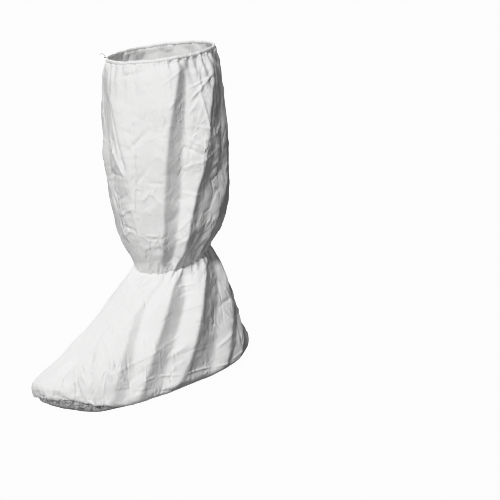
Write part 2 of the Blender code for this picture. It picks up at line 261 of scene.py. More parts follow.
# Surface grid of one panel. The inner layer has half as many rows and columns.
PANEL_COLUMNS = 192
FOOT_GRID = 150
LEG_GRID = 226
EVEN_COLUMNS = 0.6
CLOTH_THICKNESS = 0.0005
FOOT_LENGTH = 0.170
LEG_LENGTH = 0.272
HALF_ROUND = 0.250
MEAN_RADIUS = 0.085
SHARP_ANGLE = 75

# Smaller pieces, in metres
HEM_HALF_WIDTH = 0.0017
HEM_OVERLAP = 0.0013
HEM_INSET = 0.0009
THIN_WALL = 0.0009
ELASTIC_HEIGHT = 0.006
ELASTIC_INSET = 0.0043
THREAD_RADIUS = 0.0009
STRAND_TURNS = np.arange(5) * 2 * pi / 5

# Along a stitch: share of its length, and half its width there
STITCH_SHAPE = ((0, 0.00006), (0.2, 0.00017), (0.5, 0.0002), (0.8, 0.00017), (1, 0.00006))
# Rows of stitches round the cover: level, stitch length and pitch. Then the same length
# and pitch for the rows beside the front and back seams.
STITCH_ROWS = (
    (2 - 0.0032 / LEG_LENGTH, 0.0021, 0.0031),
    (0.0034 / FOOT_LENGTH, 0.0026, 0.0038),
    (1 + 0.0042 / LEG_LENGTH, 0.0022, 0.0034),
)
SEAM_STITCH = (0.0022, 0.0034)

# Camera of the photograph: azimuth, pitch and yaw in degrees, lens in millimetres
AZIMUTH, PITCH, YAW, LENS = 55, 15.41, 4.92, 67.03
CAMERA_DISTANCE, CAMERA_HEIGHT = 1.21, 0.5056

# Studio: reach of the floor and backdrop, how bright they show, and for each sun its
# azimuth, elevation and spread in degrees, then its power
FLOOR_REACH = 40.0
BACKDROP_RADIUS, BACKDROP_ENDS = 9, (-0.5, 14)
GLOW = 2.4
SUNS = {"key": (35, 43, 9, 2.66), "back": (250, 36, 12, 1.7)}

# Azimuth and elevation of the broad light, then its weakest and strongest value
BROAD_LIGHT = (30, -2, 0.09, 0.52)

RING = np.linspace(0, 2 * pi, 721)
SAMPLES = 1440


def table_at(rows, places):
    """Columns of a table at many places: smooth, and never past the table's rows."""
    known, values = rows[:, 0], rows[:, 1:]
    steps = np.diff(values, axis=0) / np.diff(known)[:, None]
    before, after = steps[:-1], steps[1:]
    total = before + after
    inner = np.where(
        before * after > 0, 2 * before * after / np.where(total == 0, 1, total), 0
    )
    slopes = np.vstack((steps[:1], inner, steps[-1:]))
    places = np.clip(places, known[0], known[-1])
    i = np.clip(np.searchsorted(known, places, side="right") - 1, 0, len(known) - 2)
    step = (known[i + 1] - known[i])[..., None]
    u = (places - known[i])[..., None] / step
    start = 2 * u**3 - 3 * u**2 + 1
    result = (
        values[i] * start
        + slopes[i] * (u**3 - 2 * u**2 + u) * step
        + values[i + 1] * (1 - start)
        + slopes[i + 1] * (u**3 - u**2) * step
    )
    return np.moveaxis(result, -1, 0)


def rim_at(angle):
    """Height and tuck of the sole's rim at an angle, as shares."""
    return table_at(RIM_ROWS, (np.degrees(angle) - RIM_START) % 360 + RIM_START)


def seam_wave(angle):
    """Waver of the sole seam's height, strongest at the toe."""
    toe = np.clip(np.cos(angle), 0, 1)
    wave = 0.5 * np.sin(9 * angle + 1.0) + 0.35 * np.sin(17 * angle + 0.4)
    return 0.0014 * toe * toe * (wave + 0.3 * np.sin(31 * angle + 2.0))


def ankle_at(angle):
    """Ankle ring, on the gather line."""
    y = -ANKLE_DEPTH / 2 * np.cos(angle)
    return ANKLE_WIDTH / 2 * np.sin(angle), y, ANKLE_HEIGHT - ANKLE_SLOPE * y


def foot_skin(angle, rise):
    """Smooth skin of the foot."""
    front, side, back, pinch = table_at(FOOT_ROWS, rise)
    c, s = np.cos(angle), np.sin(angle)
    square = (np.abs(c) ** PLAN_POWER + np.abs(s) ** PLAN_POWER) ** (-1 / PLAN_POWER)
    plan_x = FOOT_WIDTH / 2 * s * square * (1 + TOE_SPREAD * c)
    plan_y = -np.where(c > 0, TOE_REACH, HEEL_REACH) * c * square
    share = np.where(c > 0, front, back) * c * c + side * s * s
    ankle_x, ankle_y, ankle_z = ankle_at(angle)
    x = (plan_x + (ankle_x - plan_x) * share) * (1 - pinch * np.maximum(c, 0))
    y = plan_y + (ankle_y - plan_y) * share
    low = SEAM_HEIGHT * rim_at(angle)[0] + seam_wave(angle)
    return np.stack(np.broadcast_arrays(x, y, low + (ankle_z - low) * rise), axis=-1)


def leg_skin(angle, rise):
    """Smooth skin of the leg."""
    grow, swell, lean, _ = table_at(LEG_ROWS, rise)
    swell = LEG_SWELL * swell
    half_width = (ANKLE_WIDTH + (HEM_WIDTH - ANKLE_WIDTH) * grow) / 2 + swell
    half_depth = (ANKLE_DEPTH + (HEM_DEPTH - ANKLE_DEPTH) * grow) / 2 + swell
    c = np.cos(angle)
    low = ankle_at(angle)[2]
    high = HEM_HEIGHT - HEM_BAND - GAP + HEM_SLOPE * HEM_DEPTH / 2 * c
    x = half_width * np.sin(angle)
    y = -half_depth * c - LEG_LEAN * lean
    return np.stack(np.broadcast_arrays(x, y, low + (high - low) * rise), axis=-1)


def skin(angle, level):
    """Smooth skin of the whole cover."""
    angle, level = np.broadcast_arrays(angle, level)
    foot = foot_skin(angle, np.clip(level, 0, 1))
    leg = leg_skin(angle, np.clip(level - 1, 0, 1))
    return np.where((level <= 1)[..., None], foot, leg)


def normals_at(angle, level):
    """Outward normals of the smooth skin."""
    turn, lift = 0.01, 0.004
    low, high = np.maximum(level - lift, 0), np.minimum(level + lift, 2)
    across = skin(angle + turn, level) - skin(angle - turn, level)
    along = skin(angle, high) - skin(angle, low)
    return unit(np.cross(across, along))


def twist_at(level):
    """Turn of the seams about the leg at a level."""
    turn = table_at(LEG_ROWS, np.clip(level - 1, 0, 1))[3]
    return np.where(level <= 1, 0, np.radians(turn))


def arcs_at(level):
    """Length round the skin from angle 0 to each angle of RING, at each level."""
    points = skin(RING[None, :], level[:, None])
    steps = np.linalg.norm(np.diff(points, axis=1), axis=2)
    return np.concatenate((np.zeros((len(level), 1)), np.cumsum(steps, axis=1)), axis=1)


def arc_of(angle, arcs):
    """Length round the skin at angles of any size, on one level."""
    whole = np.floor(angle / (2 * pi))
    return np.interp(angle - 2 * pi * whole, RING, arcs) + arcs[-1] * whole


def smooth_step(value):
    """Soft rise from 0 to 1."""
    value = np.clip(value, 0, 1)
    return value * value * (3 - 2 * value)


def bell(value):
    """Bell curve, 1 at 0."""
    return np.exp(-(value**2))


def unit(vectors):
    """Vectors made one long."""
    return vectors / np.linalg.norm(vectors, axis=-1, keepdims=True)


def main_folds(angle, level, arcs):
    """Offset by the crest and valley lines, one row of the grid at a time."""
    result = np.zeros(angle.shape)
    for i, row_level in enumerate(level):
        foot = row_level <= 1
        stops, lines = (FOOT_STOPS, FOOT_LINES) if foot else (LEG_STOPS, LEG_LINES)
        angles, sizes = np.split(lines[:, 1:], 2, axis=1)
        known = np.column_stack((stops, angles.T, sizes.T))
        found = table_at(known, np.array(row_level))
        places = arc_of(np.radians(found[:len(lines)]), arcs[i])
        heights = found[len(lines):] / 1000
        bows = lines[:, 0]
        round_length = arcs[i][-1]
        places = np.concatenate((places - round_length, places, places + round_length))
        heights, bows = np.tile(heights, 3), np.tile(bows, 3)
        sample = np.arange(SAMPLES) * round_length / SAMPLES
        j = np.searchsorted(places, sample, side="right") - 1
        t = (sample - places[j]) / (places[j + 1] - places[j])
        ease = t + bows[j] * (t - t * t)
        profile = heights[j] + (heights[j + 1] - heights[j]) * ease
        waves = np.fft.rfftfreq(SAMPLES, round_length / SAMPLES) * 2 * pi
        soft = np.exp(-((waves * FOLD_ROUND) ** 2) / 2)
        profile = np.fft.irfft(np.fft.rfft(profile) * soft, SAMPLES)
        result[i] = np.interp(
            arc_of(angle[i], arcs[i]), sample, profile, period=round_length
        )
    return result


def crease_offset(angle, level, creases):
    """Offset by straight creases, each between two places on the skin."""
    result = np.zeros(angle.shape)
    whole = 2 * pi
    for start_angle, start_level, end_angle, end_level, width, height in creases:
        width, height = CREASE_WIDTH * width / 1000, CREASE_HEIGHT * height / 1000
        start, end = radians(start_angle), radians(end_angle)
        middle, middle_level = (start + end) / 2, (start_level + end_level) / 2
        near = skin(
            np.array([middle - 0.02, middle + 0.02, middle, middle]),
            np.array([middle_level] * 2 + [middle_level - 0.02, middle_level + 0.02]),
        )
        round_scale = np.linalg.norm(near[1] - near[0]) / 0.04
        up_scale = np.linalg.norm(near[3] - near[2]) / 0.04
        low, high = sorted((start_level, end_level))
        margin = width / up_scale
        rows = slice(*np.searchsorted(level, (low - margin, high + margin)))
        run = np.array([(end - start) * round_scale, (end_level - start_level) * up_scale])
        length = np.linalg.norm(run)
        reach = width / round_scale
        part = angle[rows]
        if not part.size:
            continue
        for turn in (-whole, 0, whole):
            first = min(start, end) + turn - reach
            last = max(start, end) + turn + reach
            columns = np.flatnonzero(((part > first) & (part < last)).any(axis=0))
            if not len(columns):
                continue
            columns = slice(columns[0], columns[-1] + 1)
            across = (part[:, columns] - start - turn) * round_scale
            up = (level[rows] - start_level)[:, None] * up_scale
            t = (across * run[0] + up * run[1]) / length**2
            along = np.clip(t, 0, 1)
            beside = np.hypot(across - along * run[0], up - along * run[1])
            ridge = np.clip(1 - np.sqrt(beside**2 + 0.0004**2) / width, 0, 1) ** 2
            taper = smooth_step(t / 0.3) * smooth_step((1 - t) / 0.3)
            result[rows, columns] += height * ridge * taper
    return result


def facets(u, v, cell, height, seed):
    """Crumpled film: flat facets between scattered places of random height."""
    draw = np.random.default_rng(seed)
    across, up = (max(2, round(size / step)) for size, step in zip((u[-1], v[-1]), cell))
    places, heights = [], []
    for i in range(up + 1):
        for j in range(across + 1):
            jitter = draw.uniform(-0.42, 0.42, 2)
            level = draw.uniform(-1, 1)
            if draw.uniform() < 0.2 and 0 < i < up and 0 < j < across:
                continue
            x = min(max((j + jitter[0] * (0 < j < across)) / across, 0), 1)
            y = min(max((i + jitter[1] * (0 < i < up)) / up, 0), 1)
            places.append(Vector((x * u[-1], y * v[-1])))
            heights.append(level * height * (0 < j < across))
    found, _, triangles, origins, _, _ = delaunay_2d_cdt(places, [], [], 0, 1e-7)
    spots = np.array([tuple(place) for place in found])
    values = np.array([heights[origin[0]] for origin in origins])
    result = np.zeros((len(v), len(u)))
    for triangle in triangles:
        a, b, c = corners = spots[list(triangle)]
        low, high = corners.min(axis=0), corners.max(axis=0) + 1e-9
        columns = slice(*np.searchsorted(u, (low[0], high[0])))
        rows = slice(*np.searchsorted(v, (low[1], high[1])))
        x, y = u[None, columns], v[rows, None]
        area = (b[0] - a[0]) * (c[1] - a[1]) - (c[0] - a[0]) * (b[1] - a[1])
        second = ((x - a[0]) * (c[1] - a[1]) - (c[0] - a[0]) * (y - a[1])) / area
        third = ((b[0] - a[0]) * (y - a[1]) - (x - a[0]) * (b[1] - a[1])) / area
        first = 1 - second - third
        inside = (first >= -1e-9) & (second >= -1e-9) & (third >= -1e-9)
        value = values[list(triangle)] @ np.array([first, second, third]).reshape(3, -1)
        part = result[rows, columns]
        part[inside] = value.reshape(inside.shape)[inside]
    return soften(result)


def soften(values):
    """Small blur, so that a crease between facets is about two grid steps wide."""
    for axis in (0, 1):
        pad = [(1, 1) if k == axis else (0, 0) for k in (0, 1)]
        wide = np.pad(values, pad, mode="edge")
        size = values.shape[axis]
        parts = [wide.take(range(k, k + size), axis) for k in range(3)]
        values = (parts[0] + 2 * parts[1] + parts[2]) / 4
    return values


def strength_at(angle, level):
    """How crumpled the cloth is at each place."""
    result = np.full(angle.shape, CRUMPLED_BASE)
    for place, height, wide, tall, extra in CRUMPLED:
        away = np.degrees(angle) - place
        away = (away + 180) % 360 - 180
        up = (level[:, None] - height) / tall
        result += extra * np.exp(-((away / wide) ** 2) - up**2)
    return result


def random_creases(count, seed, long_run, widest, highest):
    """Creases all over the cloth, in every direction, more of them small than large."""
    draw = np.random.default_rng(seed)
    rows = []
    for _ in range(count):
        angle = draw.uniform(0, 360)
        level = draw.uniform(0.05, 1.95)
        lean = draw.uniform(-pi / 2, pi / 2)
        reach = long_run * draw.uniform(0.3, 1.0)
        part_height = FOOT_LENGTH if level <= 1 else LEG_LENGTH
        across = degrees(reach * cos(lean) / MEAN_RADIUS)
        rise = reach * sin(lean) / part_height
        if (level - 1) * (level + rise - 1) < 0:
            rise = -rise
        size = draw.uniform(0.3, 1.0) ** 1.5
        height = draw.choice((-1, 1)) * size * highest * RANDOM_HEIGHT
        width = max(2.2, size * widest)
        level_end = min(max(level + rise, 0.03), 1.97)
        rows.append((angle, level, angle + across, level_end, width, height))
    return rows


def pleats(angle, count, seed):
    """Uneven pleats round the cloth, between -1 and 1."""
    draw = np.random.default_rng(seed)
    phase = draw.uniform(0, 2 * pi, 6)
    shift = sum(
        np.sin((k + 2) * angle + phase[k]) * 1.3 / (k + 2) for k in range(3)
    )
    size = 0.68 + 0.32 * np.sin(7 * angle + phase[3]) * np.sin(3 * angle + phase[4])
    wave = np.cos(count * angle + shift * count / 16)
    return size * wave


def gathers(angle, level, from_ankle, from_hem):
    """Offset by the gathers at the ankle and the puckers and pleats under the hem."""
    long_reach = 0.020 + 0.009 * np.sin(5 * angle + 1) + 0.005 * np.sin(13 * angle)
    above = level > 1
    reach = np.where(above, long_reach, long_reach * 0.75)
    away = np.abs(from_ankle)
    front = 0.5 + 0.5 * np.cos(angle - radians(20))
    size = 1.15 - np.where(above, 0.6, 0.3) * front
    result = 0.0017 * size * pleats(angle, 31, 3) * bell(away / reach)
    result += 0.0010 * pleats(angle, 53, 4) * bell(away / (0.55 * reach))
    result += 0.0004 * pleats(angle, 97, 5) * bell(away / 0.005)
    result -= 0.0019 * size * bell(away / 0.0026)
    hem_reach = 0.024 + 0.014 * np.sin(4 * angle + 2) + 0.006 * np.sin(11 * angle + 1)
    side = 1 + 0.9 * bell((np.degrees(angle) - 100) / 45)
    hem = 0.0014 * side * pleats(angle, 33, 6) * bell(from_hem / hem_reach)
    hem += 0.0011 * pleats(angle, 71, 7) * bell(from_hem / 0.008)
    hem += 0.0006 * pleats(angle, 131, 8) * bell(from_hem / 0.005)
    return result + np.where(above, hem, 0) * smooth_step(from_hem / 0.003 + 0.25)


def seam_offset(beside, along):
    """Groove and puckers of a stitched seam at a distance beside it."""
    fade = 0.55 + 0.45 * np.sin(along * 41 + 1.0) * np.sin(along * 67)
    groove = -0.0004 * fade * bell(beside / 0.0014)
    wave = np.cos(2 * pi * along / 0.012 + 2.5 * np.sin(along * 57))
    return groove + 0.00022 * fade * wave * bell(beside / 0.0065)


def crumples(angle, level, seed):
    """Crumpled facets of several sizes, finer and stronger beside gathers and the sole."""
    u = np.linspace(0, 1, angle.shape[1]) * HALF_ROUND
    v = np.where(level <= 1, level * FOOT_LENGTH, FOOT_LENGTH + (level - 1) * LEG_LENGTH)
    result = strength_at(angle, level) * sum(
        facets(u, v, (wide, tall), height, seed + i)
        for i, (wide, tall, height) in enumerate(FACETS)
    )
    from_ankle = np.abs(v - FOOT_LENGTH)
    from_hem = v[-1] - v
    toe = np.clip(np.cos(angle), 0, 1) ** 2
    fine = facets(u, v, (0.0062, 0.0100), 0.0011, seed + 3)
    tiny = facets(u, v, (0.0050, 0.0055), 0.0009, seed + 4)
    band = bell(from_ankle / 0.012)
    hem = bell(from_hem / 0.009)
    result += fine * (band + 0.4 * hem)[:, None] + tiny * 0.9 * hem[:, None]
    ridge = 0.0022 * pleats(angle, 57, 31) + 0.0016 * pleats(angle, 91, 32)
    near_sole = bell((v - 0.004) / 0.011)[:, None]
    result += (2.6 * tiny + ridge * np.abs(np.sin(7 * angle))) * toe * near_sole
    return result


def panel_levels():
    """Levels of the grid's rows, closer together at the sole, ankle and hem."""
    rows = [0.0]
    for base, bands, crowding in ((0, FOOT_GRID, 0.55), (1, LEG_GRID, 0.45)):
        for i in range(1, bands + 1):
            share = i / bands
            crowd = crowding * sin(2 * pi * share) / (2 * pi)
            rows.append(base + share - crowd)
    return np.array(rows)


def column_angles():
    """Angles of the columns of the +X panel, between even in angle and in length."""
    arcs = arcs_at(np.array([0.3]))[0]
    half = np.interp(pi, RING, arcs)
    share = np.linspace(0, 1, PANEL_COLUMNS + 1)
    even = np.interp(share * half, arcs, RING)
    even[0], even[-1] = 0, pi
    return EVEN_COLUMNS * even + (1 - EVEN_COLUMNS) * share * pi


def hidden_side(angle):
    """1 where the cloth's lower edge turns under, beside the arch and heel."""
    place = np.degrees(angle) % 360
    near_heel = 0.35 + 0.65 * smooth_step((158 - place) / 45)
    return near_heel * smooth_step((place - 42) / 52) * smooth_step((235 - place) / 40)


def cloth_offset(column, level, crumpled=None):
    """How far the cloth stands out from the smooth skin, and the skin itself."""
    angle = column[None, :] + twist_at(level)[:, None]
    levels_2d = np.broadcast_to(level[:, None], angle.shape)
    points = skin(angle, levels_2d)
    arcs = arcs_at(level)
    from_ankle = np.where(level <= 1, (level - 1) * FOOT_LENGTH, (level - 1) * LEG_LENGTH)
    from_hem = (2 - level) * LEG_LENGTH
    hold = 0.25 + 0.75 * smooth_step(np.abs(from_ankle) / 0.016)
    hold = hold * (0.2 + 0.8 * smooth_step(from_hem / 0.016))
    hold = hold * (0.35 + 0.65 * smooth_step(level / 0.10))
    result = main_folds(angle, level, arcs) * hold[:, None]
    if crumpled is not None:
        small = random_creases(420, 11, 0.030, 5.0, 0.60)
        large = random_creases(70, 12, 0.070, 9.0, 0.90)
        result += crease_offset(angle, level, [*CREASES, *small, *large])
        free = smooth_step(level / 0.03) * smooth_step(from_hem / 0.004)
        result += crumples(angle, level, crumpled) * free[:, None]
    result += gathers(column[None, :], levels_2d, from_ankle[:, None], from_hem[:, None])
    place = np.array([arc_of(row, arc) for row, arc in zip(angle, arcs)])
    for seam in (0.0, pi, 2 * pi):
        seam_place = np.array([
            arc_of(np.array(seam + turn), arc) for turn, arc in zip(twist_at(level), arcs)
        ])
        result += seam_offset(place - seam_place[:, None], points[..., 2])
    rim_dip = -0.0010 * bell(level * FOOT_LENGTH / 0.0022)
    turned_under = 1 - smooth_step(level * FOOT_LENGTH / UNDER_REACH)
    result -= UNDER_DEPTH * turned_under[:, None] * hidden_side(angle)
    return points, normals_at(angle, levels_2d), result + rim_dip[:, None]


def lowest_near(values):
    """Lowest value within two steps of each place of a grid."""
    wide = np.pad(values, 2, mode="edge")
    rows, columns = values.shape
    shifts = [(i, j) for i in range(5) for j in range(5)]
    return np.min([wide[i:i + rows, j:j + columns] for i, j in shifts], axis=0)


def add_object(name, data):
    """Object of a mesh, light or camera, in the scene."""
    result = bpy.data.objects.new(name, data)
    bpy.context.scene.collection.objects.link(result)
    return result


def smooth_object(name, points, faces):
    """Smooth object of an array of points and a list of faces."""
    mesh = bpy.data.meshes.new(name)
    mesh.from_pydata(points.tolist(), [], faces)
    mesh.shade_smooth()
    return add_object(name, mesh)


def double_layer(name, outer, inner):
    """Closed mesh of a fine outer grid and an inner one with half its rows and columns."""
    rows, columns = outer.shape[:2]
    index = np.arange(rows * columns).reshape(rows, columns)
    under = index.size + np.arange(inner[..., 0].size).reshape(inner.shape[:2])
    quads = [
        np.stack((grid[:-1, :-1], grid[:-1, 1:], grid[1:, 1:], grid[1:, :-1]), axis=-1)
        for grid in (index, under)
    ]
    faces = quads[0].reshape(-1, 4).tolist() + quads[1].reshape(-1, 4)[:, ::-1].tolist()
    for edge, lower, turned in (
        (index[0], under[0], True), (index[-1], under[-1], False),
        (index[:, 0], under[:, 0], False), (index[:, -1], under[:, -1], True),
    ):
        for k in range(len(lower) - 1):
            face = [*edge[2 * k:2 * k + 3], lower[k + 1], lower[k]]
            faces.append([int(i) for i in (face[::-1] if turned else face)])
    points = np.concatenate((outer.reshape(-1, 3), inner.reshape(-1, 3)))
    piece = smooth_object(name, points, faces)
    piece.data.set_sharp_from_angle(angle=radians(SHARP_ANGLE))
    return piece


def grid_object(name, points):
    """Smooth mesh of a grid of points, rows going up and columns all the way round."""
    rows, columns = points.shape[:2]
    here = np.arange(rows * columns).reshape(rows, columns)
    there = np.roll(here, -1, axis=1)
    faces = np.stack((here[:-1], there[:-1], there[1:], here[1:]), axis=-1)
    return smooth_object(name, points.reshape(-1, 3), faces.reshape(-1, 4).tolist())


def modify(target, kind, **settings):
    """Change an object's mesh by a modifier, and keep only the new mesh."""
    modifier = target.modifiers.new("shape", kind)
    for key, value in settings.items():
        setattr(modifier, key, value)
    graph = bpy.context.evaluated_depsgraph_get()
    mesh = bpy.data.meshes.new_from_object(target.evaluated_get(graph))
    target.modifiers.clear()
    target.data = mesh
    mesh.shade_smooth()


class Nodes:
    """Short way to build a material's node tree."""

    def __init__(self, name):
        self.material = bpy.data.materials.new(name)
        self.material.use_nodes = True
        self.tree = self.material.node_tree
        self.shader = self.tree.nodes["Principled BSDF"]
        self.place = self.add("TexCoord").outputs["Object"]

    def add(self, kind, inputs=(), **settings):
        node = self.tree.nodes.new("ShaderNode" + kind)
        for key, value in settings.items():
            setattr(node, key, value)
        for key, value in dict(inputs).items():
            self.put(node.inputs[key], value)
        return node

    def put(self, socket, value):
        if isinstance(value, bpy.types.NodeSocket):
            self.tree.links.new(value, socket)
        else:
            socket.default_value = value

    def noise(self, scale, detail=3.0, rough=0.5, stretch=None, warp=0.0):
        place = self.place
        if stretch:
            node = self.add("Mapping", {"Vector": place, "Scale": stretch})
            place = node.outputs["Vector"]
        return self.add("TexNoise", {
            "Vector": place, "Scale": scale, "Detail": detail, "Roughness": rough,
            "Distortion": warp,
        }).outputs["Fac"]

    def math(self, operation, a, b=0.0, clamp=False):
        node = self.add("Math", {0: a, 1: b}, operation=operation, use_clamp=clamp)
        return node.outputs[0]

    def times(self, a, b, clamp=False):
        return self.math("MULTIPLY", a, b, clamp)

    def ramp(self, value, stops):
        node = self.add("ValToRGB", {"Fac": value})
        elements = node.color_ramp.elements
        while len(elements) < len(stops):
            elements.new(0.5)
        for element, (place, colour) in zip(elements, stops):
            element.position = place
            element.color = (*colour, 1.0)
        return node.outputs["Color"]

    def spread(self, value, low, high):
        node = self.add("MapRange", {"Value": value, "To Min": low, "To Max": high})
        return node.outputs["Result"]

    def bump(self, height, strength, distance, normal=None):
        inputs = {"Height": height, "Strength": strength, "Distance": distance}
        if normal is not None:
            inputs["Normal"] = normal
        return self.add("Bump", inputs).outputs["Normal"]

    def finish(self, **inputs):
        names = {"color": "Base Color", "roughness": "Roughness", "normal": "Normal"}
        for key, value in inputs.items():
            self.put(self.shader.inputs[names.get(key, key)], value)
        return self.material


def crease_net(nodes, scale, half_width, height, amount, turn, normal=None):
    """Long straight creases between flat facets, some out and some in, some missing."""
    shift = nodes.add("TexNoise", {
        "Vector": nodes.place, "Scale": scale * 0.35, "Detail": 1.0,
    }).outputs["Color"]
    place = nodes.add("VectorMath", {0: shift, 1: (0.6 / scale,) * 3},
                      operation="MULTIPLY").outputs[0]
    place = nodes.add("VectorMath", {0: nodes.place, 1: place},
                      operation="ADD").outputs[0]
    place = nodes.add("Mapping", {
        "Vector": place, "Rotation": turn, "Scale": (1.0, 1.0, 0.42),
    }).outputs["Vector"]
    edge = nodes.add("TexVoronoi", {"Vector": place, "Scale": scale},
                     feature="DISTANCE_TO_EDGE").outputs["Distance"]
    line = nodes.add("MapRange", {
        "Value": edge, "From Max": half_width * scale, "To Min": 1.0, "To Max": 0.0,
    }).outputs["Result"]
    side = nodes.math("SUBTRACT", nodes.noise(scale * 0.8, 1.0), 0.5)
    side = nodes.times(side, 7.0)
    side = nodes.math("MAXIMUM", nodes.math("MINIMUM", side, 1.0), -1.0)
    some = nodes.math("SUBTRACT", nodes.noise(scale * 0.5, 1.0, warp=0.4), 0.42)
    some = nodes.times(some, 8.0, clamp=True)
    tall = nodes.times(nodes.times(line, side), amount)
    return nodes.bump(nodes.times(tall, some), 1.0, height, normal)


def cloth_material(name, ruche=False):
    """White film-like nonwoven: faint mottling, fibres and crumples."""
    nodes = Nodes(name)
    mottle = nodes.noise(26.0, 4.0, 0.6)
    fibre = nodes.noise(900.0, 3.0, 0.65, stretch=(1.0, 1.0, 0.45))
    value = nodes.math("ADD", nodes.times(mottle, 0.5), nodes.times(fibre, 0.5))
    color = nodes.ramp(value, [
        (0.30, (0.815, 0.815, 0.81)), (0.70, (0.885, 0.885, 0.88)),
    ])
    rough = nodes.spread(nodes.noise(60.0, 3.0), 0.44, 0.62)
    extra = nodes.add("Attribute", attribute_name="crumple").outputs["Fac"]
    patchy = nodes.math("SUBTRACT", nodes.noise(16.0, 2.0), 0.30)
    patchy = nodes.times(patchy, 3.2, clamp=True)
    amount = nodes.times(patchy, extra)
    normal = crease_net(nodes, 34.0, 0.0022, 0.0010, amount, (0.6, 0.2, 0))
    normal = crease_net(nodes, 62.0, 0.0016, 0.0009, amount, (-0.6, -0.2, 0), normal)
    normal = crease_net(nodes, 120.0, 0.0010, 0.0005, amount, (1.2, 0.1, 0), normal)
    normal = nodes.bump(fibre, 0.25, 0.0002, normal)
    if ruche:
        folds = nodes.noise(330.0, 2.0, stretch=(1.0, 1.0, 0.25))
        normal = nodes.bump(folds, 0.6, 0.0006, normal)
    nodes.shader.inputs["Sheen Weight"].default_value = 0.08
    nodes.shader.inputs["Specular IOR Level"].default_value = 0.4
    return nodes.finish(color=color, roughness=rough, normal=normal)


def sole_material():
    """Grey coated cloth with black mottles and a few pale flecks."""
    nodes = Nodes("sole_grip")
    blotch = nodes.noise(210.0, 5.0, 0.75, warp=0.8)
    color = nodes.ramp(blotch, [
        (0.34, (0.05, 0.05, 0.052)),
        (0.43, (0.30, 0.30, 0.302)),
        (0.52, (0.55, 0.55, 0.552)),
        (0.70, (0.70, 0.70, 0.702)),
    ])
    flecks = nodes.ramp(
        nodes.noise(520.0, 2.0, 0.5), [(0.60, (0, 0, 0)), (0.68, (1, 1, 1))]
    )
    inputs = {"Factor": flecks, 6: color, 7: (0.86, 0.86, 0.85, 1)}
    mixed = nodes.add("Mix", inputs, data_type="RGBA")
    off = nodes.math("SUBTRACT", nodes.noise(130.0, 2.0, warp=0.7), 0.5)
    ridges = nodes.times(nodes.math("ABSOLUTE", off), 2.0)
    normal = nodes.bump(ridges, 0.8, 0.0012)
    normal = nodes.bump(nodes.noise(700.0, 3.0), 0.4, 0.0004, normal)
    rough = nodes.spread(blotch, 0.45, 0.85)
    return nodes.finish(color=mixed.outputs[2], roughness=rough, normal=normal)


def elastic_material():
    """Knitted elastic with fine ribs."""
    nodes = Nodes("elastic_knit")
    wave = nodes.add("TexWave", {
        "Vector": nodes.place, "Scale": 260.0, "Distortion": 1.5, "Detail": 2.0,
    }, bands_direction="Z").outputs["Fac"]
    knit = nodes.noise(800.0, 3.0)
    color = nodes.ramp(knit, [(0.3, (0.68, 0.68, 0.66)), (0.7, (0.80, 0.80, 0.78))])
    normal = nodes.bump(wave, 0.5, 0.0004)
    return nodes.finish(color=color, roughness=0.8, normal=normal)


PANEL_GRIDS = []


def on_cloth(column, level):
    """Point and outward normal of the cloth's outer face at a column angle and level."""
    columns, levels, outer = PANEL_GRIDS[0 if column <= pi else 1]
    last_row, last_column = len(levels) - 1, len(columns) - 1
    i = np.interp(level, levels, np.arange(last_row + 1))
    j = np.interp(column, columns, np.arange(last_column + 1))
    low_i, low_j = min(int(i), last_row - 1), min(int(j), last_column - 1)
    u, v = i - low_i, j - low_j
    cell = outer[low_i:low_i + 2, low_j:low_j + 2]
    rows = cell[0] * (1 - u) + cell[1] * u
    across, up = cell[0, 1] - cell[0, 0], cell[1, 0] - cell[0, 0]
    return rows[0] * (1 - v) + rows[1] * v, unit(np.cross(across, up))


def stitch_row(places, length, pitch):
    """Short raised stitches along places, each a column angle and a level."""
    found = [on_cloth(*place) for place in places]
    points = np.array([point for point, _ in found])
    normals = np.array([normal for _, normal in found])
    steps = np.linalg.norm(np.diff(points, axis=0), axis=1)
    along = np.concatenate(([0], np.cumsum(steps)))
    starts = np.arange(pitch / 2, along[-1] - length, pitch)

    def between(rows, place):
        return np.array([np.interp(place, along, values) for values in rows.T])

    rings = []
    for start in starts:
        for share, size in STITCH_SHAPE:
            here = start + share * length
            point, normal = between(points, here), between(normals, here)
            ahead = point - points[-2]
            if here + 0.0005 < along[-1]:
                ahead = between(points, here + 0.0005) - point
            beside = unit(np.cross(ahead, normal))
            centre = point + normal * (0.00012 + 0.00016 * sin(pi * share))
            rings.append([
                centre + beside * size * 1.3 * cos(a) + normal * size * sin(a)
                for a in STRAND_TURNS
            ])
    return np.array(rings).reshape(len(starts), 5, 5, 3)


def thread_end():
    """Loose end of the hem's thread, with a small loop, as rings of a thin tube."""
    start, normal = on_cloth(radians(302), 2.0)
    up = np.array((0, 0, 1.0))
    beside = np.cross(up, normal)
    share = np.linspace(0, 1, 40)[:, None]
    turn = 2.6 * pi * share
    line = (
        start + normal * (-0.0012 + 0.0080 * share + 0.0016 * np.sin(turn))
        + up * (0.0020 + 0.0080 * share - 0.0020 * (1 - np.cos(turn)) * share)
        + beside * 0.0026 * np.sin(turn * 0.8)
    )
    rings = []
    for k, point in enumerate(line):
        ahead = line[min(k + 1, 39)] - line[max(k - 1, 0)]
        side = unit(np.cross(ahead, up))
        above = unit(np.cross(side, ahead))
        rings.append([
            point + THREAD_RADIUS * (side * cos(a) + above * sin(a))
            for a in STRAND_TURNS
        ])
    return np.array(rings)


